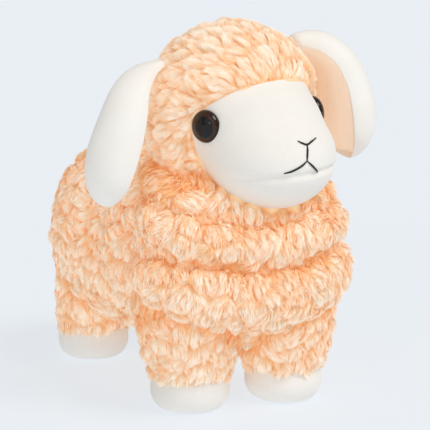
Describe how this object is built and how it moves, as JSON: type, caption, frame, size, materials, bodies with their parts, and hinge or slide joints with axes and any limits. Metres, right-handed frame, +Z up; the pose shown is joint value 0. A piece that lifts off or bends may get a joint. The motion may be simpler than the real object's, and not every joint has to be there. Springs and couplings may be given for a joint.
{
  "type": "plush sheep",
  "caption": "Standing stuffed sheep toy with curly pile, a smooth pale face, drooping lined ears, short legs with pale feet and a small tail.",
  "frame": {"origin": "on the floor under the four soles, below the middle of the bounding box", "axes": "+Z up, the sheep looks along -Y and its own left side is +X, so its length runs along Y"},
  "size_m": [0.2636, 0.334, 0.3032],
  "materials": {
    "fur": "long curly pile",
    "short_white_cloth": "short smooth pile",
    "peach_lining": "short plush pile",
    "polyester_fibre": "loose fibre filling",
    "eye_plastic": "polished",
    "washer_plastic": "matt"
  },
  "bodies": {
    "body": {"body_cover": "fur", "body_filling": "polyester_fibre", "head_cover": "fur", "head_filling": "polyester_fibre", "snout_cover": "short_white_cloth", "chin_cover": "short_white_cloth", "left_eye": "eye_plastic", "left_eye_washer": "washer_plastic", "right_eye": "eye_plastic", "right_eye_washer": "washer_plastic", "front_left_leg_cover": "fur", "front_left_leg_filling": "polyester_fibre", "front_left_foot_cover": "short_white_cloth", "front_left_foot_sole": "short_white_cloth", "front_right_leg_cover": "fur", "front_right_leg_filling": "polyester_fibre", "front_right_foot_cover": "short_white_cloth", "front_right_foot_sole": "short_white_cloth", "rear_left_leg_cover": "fur", "rear_left_leg_filling": "polyester_fibre", "rear_left_foot_cover": "short_white_cloth", "rear_left_foot_sole": "short_white_cloth", "rear_right_leg_cover": "fur", "rear_right_leg_filling": "polyester_fibre", "rear_right_foot_cover": "short_white_cloth", "rear_right_foot_sole": "short_white_cloth"},
    "left_ear": {"left_ear_back": "short_white_cloth", "left_ear_lining": "peach_lining", "left_ear_filling": "polyester_fibre"},
    "right_ear": {"right_ear_back": "short_white_cloth", "right_ear_lining": "peach_lining", "right_ear_filling": "polyester_fibre"},
    "tail": {"tail_cover": "fur"}
  },
  "joints": [
    {"name": "left_ear_seam", "type": "hinge", "parent": "body", "child": "left_ear", "pos_m": [0.0594, -0.07349, 0.27925], "axis": [0.0872, -0.9962, 0], "range_deg": [0, 60]},
    {"name": "right_ear_seam", "type": "hinge", "parent": "body", "child": "right_ear", "pos_m": [-0.06298, -0.08419, 0.2685], "axis": [-0.0872, 0.9962, 0], "range_deg": [0, 100]},
    {"name": "tail_seam", "type": "hinge", "parent": "body", "child": "tail", "pos_m": [0.00142, 0.15409, 0.14956], "axis": [1, 0, 0], "range_deg": [0, 70]}
  ]
}
